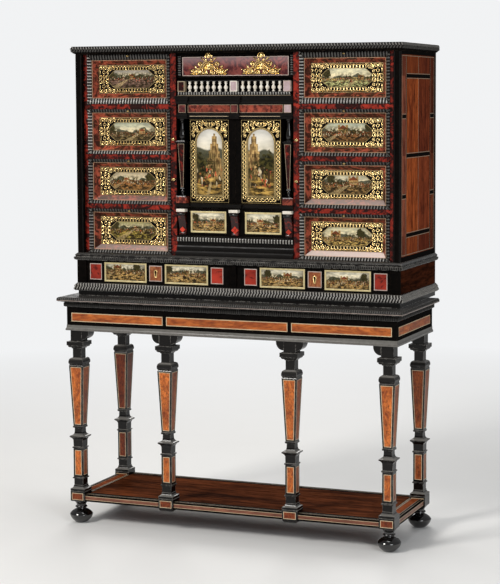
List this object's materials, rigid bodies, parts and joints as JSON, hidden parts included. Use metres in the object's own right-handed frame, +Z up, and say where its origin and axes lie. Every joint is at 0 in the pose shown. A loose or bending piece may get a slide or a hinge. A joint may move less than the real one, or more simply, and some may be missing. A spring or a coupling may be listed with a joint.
{
  "type": "cabinet on stand",
  "caption": "Ebonised cabinet of drawers with a two-door middle section, tortoiseshell and gilt mounts, on an inlaid stand with tapered legs and a low shelf.",
  "frame": {"origin": "on the floor, in the middle of the overall width and depth", "axes": "+Z up, -Y out of the front, +X to the right of a person facing the front"},
  "size_m": [1.2, 0.47, 1.587],
  "materials": {
    "ebonised_wood": "polished",
    "orange_burl": "polished",
    "shelf_wood": "polished",
    "red_tortoiseshell": "polished",
    "gilt_brass": "satin"
  },
  "bodies": {
    "carcass_and_stand": {"feet": "ebonised_wood", "leg_front_left": "ebonised_wood", "leg_inner_left": "ebonised_wood", "leg_inner_right": "ebonised_wood", "leg_front_right": "ebonised_wood", "leg_back_left": "ebonised_wood", "leg_back_right": "ebonised_wood", "leg_inlays": "orange_burl", "leg_brackets": "ebonised_wood", "shelf_board": "shelf_wood", "shelf_rails": "shelf_wood", "apron": "ebonised_wood", "apron_panels": "orange_burl", "apron_moulding": "ebonised_wood", "stand_top": "ebonised_wood", "case_base": "ebonised_wood", "plinth_case": "ebonised_wood", "plinth_moulding": "ebonised_wood", "case_floor": "ebonised_wood", "case_side_left": "ebonised_wood", "case_side_right": "ebonised_wood", "side_panels": "orange_burl", "case_back": "ebonised_wood", "case_top_board": "ebonised_wood", "cornice": "ebonised_wood", "partitions": "ebonised_wood", "drawer_rails": "ebonised_wood", "red_strips": "red_tortoiseshell", "middle_mouldings": "ebonised_wood", "balustrade": "gilt_brass", "column_piers": "ebonised_wood", "brass_fittings": "gilt_brass"},
    "side_drawer_left_1": {"drawer_left_1": "ebonised_wood", "mount_left_1": "gilt_brass"},
    "side_drawer_left_2": {"drawer_left_2": "ebonised_wood", "mount_left_2": "gilt_brass"},
    "side_drawer_left_3": {"drawer_left_3": "ebonised_wood", "mount_left_3": "gilt_brass"},
    "side_drawer_left_4": {"drawer_left_4": "ebonised_wood", "mount_left_4": "gilt_brass"},
    "side_drawer_right_1": {"drawer_right_1": "ebonised_wood", "mount_right_1": "gilt_brass"},
    "side_drawer_right_2": {"drawer_right_2": "ebonised_wood", "mount_right_2": "gilt_brass"},
    "side_drawer_right_3": {"drawer_right_3": "ebonised_wood", "mount_right_3": "gilt_brass"},
    "side_drawer_right_4": {"drawer_right_4": "ebonised_wood", "mount_right_4": "gilt_brass"},
    "low_drawer_left": {"plinth_drawer_left": "ebonised_wood", "plinth_fronts_left": "red_tortoiseshell"},
    "low_drawer_right": {"plinth_drawer_right": "ebonised_wood", "plinth_fronts_right": "red_tortoiseshell"},
    "middle_top_drawer": {"top_drawer": "ebonised_wood", "fan_mounts": "gilt_brass"},
    "middle_low_drawer": {"lower_drawer": "ebonised_wood", "lower_consoles": "ebonised_wood"},
    "cupboard_door_left": {"door_left": "ebonised_wood", "door_mount_left": "gilt_brass"},
    "cupboard_door_right": {"door_right": "ebonised_wood", "door_mount_right": "gilt_brass"}
  },
  "joints": [
    {"name": "side_drawer_left_1_slide", "type": "slide", "parent": "carcass_and_stand", "child": "side_drawer_left_1", "axis": [0, -1, 0], "range_m": [0, 0.25]},
    {"name": "side_drawer_left_2_slide", "type": "slide", "parent": "carcass_and_stand", "child": "side_drawer_left_2", "axis": [0, -1, 0], "range_m": [0, 0.25]},
    {"name": "side_drawer_left_3_slide", "type": "slide", "parent": "carcass_and_stand", "child": "side_drawer_left_3", "axis": [0, -1, 0], "range_m": [0, 0.25]},
    {"name": "side_drawer_left_4_slide", "type": "slide", "parent": "carcass_and_stand", "child": "side_drawer_left_4", "axis": [0, -1, 0], "range_m": [0, 0.25]},
    {"name": "side_drawer_right_1_slide", "type": "slide", "parent": "carcass_and_stand", "child": "side_drawer_right_1", "axis": [0, -1, 0], "range_m": [0, 0.25]},
    {"name": "side_drawer_right_2_slide", "type": "slide", "parent": "carcass_and_stand", "child": "side_drawer_right_2", "axis": [0, -1, 0], "range_m": [0, 0.25]},
    {"name": "side_drawer_right_3_slide", "type": "slide", "parent": "carcass_and_stand", "child": "side_drawer_right_3", "axis": [0, -1, 0], "range_m": [0, 0.25]},
    {"name": "side_drawer_right_4_slide", "type": "slide", "parent": "carcass_and_stand", "child": "side_drawer_right_4", "axis": [0, -1, 0], "range_m": [0, 0.25]},
    {"name": "low_drawer_left_slide", "type": "slide", "parent": "carcass_and_stand", "child": "low_drawer_left", "axis": [0, -1, 0], "range_m": [0, 0.25]},
    {"name": "low_drawer_right_slide", "type": "slide", "parent": "carcass_and_stand", "child": "low_drawer_right", "axis": [0, -1, 0], "range_m": [0, 0.25]},
    {"name": "middle_top_drawer_slide", "type": "slide", "parent": "carcass_and_stand", "child": "middle_top_drawer", "axis": [0, -1, 0], "range_m": [0, 0.24]},
    {"name": "middle_low_drawer_slide", "type": "slide", "parent": "carcass_and_stand", "child": "middle_low_drawer", "axis": [0, -1, 0], "range_m": [0, 0.24]},
    {"name": "cupboard_door_left_hinge", "type": "hinge", "parent": "carcass_and_stand", "child": "cupboard_door_left", "pos_m": [-0.156, -0.119, 1.213], "axis": [0, 0, -1], "range_deg": [0, 90]},
    {"name": "cupboard_door_right_hinge", "type": "hinge", "parent": "carcass_and_stand", "child": "cupboard_door_right", "pos_m": [0.156, -0.119, 1.213], "axis": [0, 0, 1], "range_deg": [0, 90]}
  ]
}
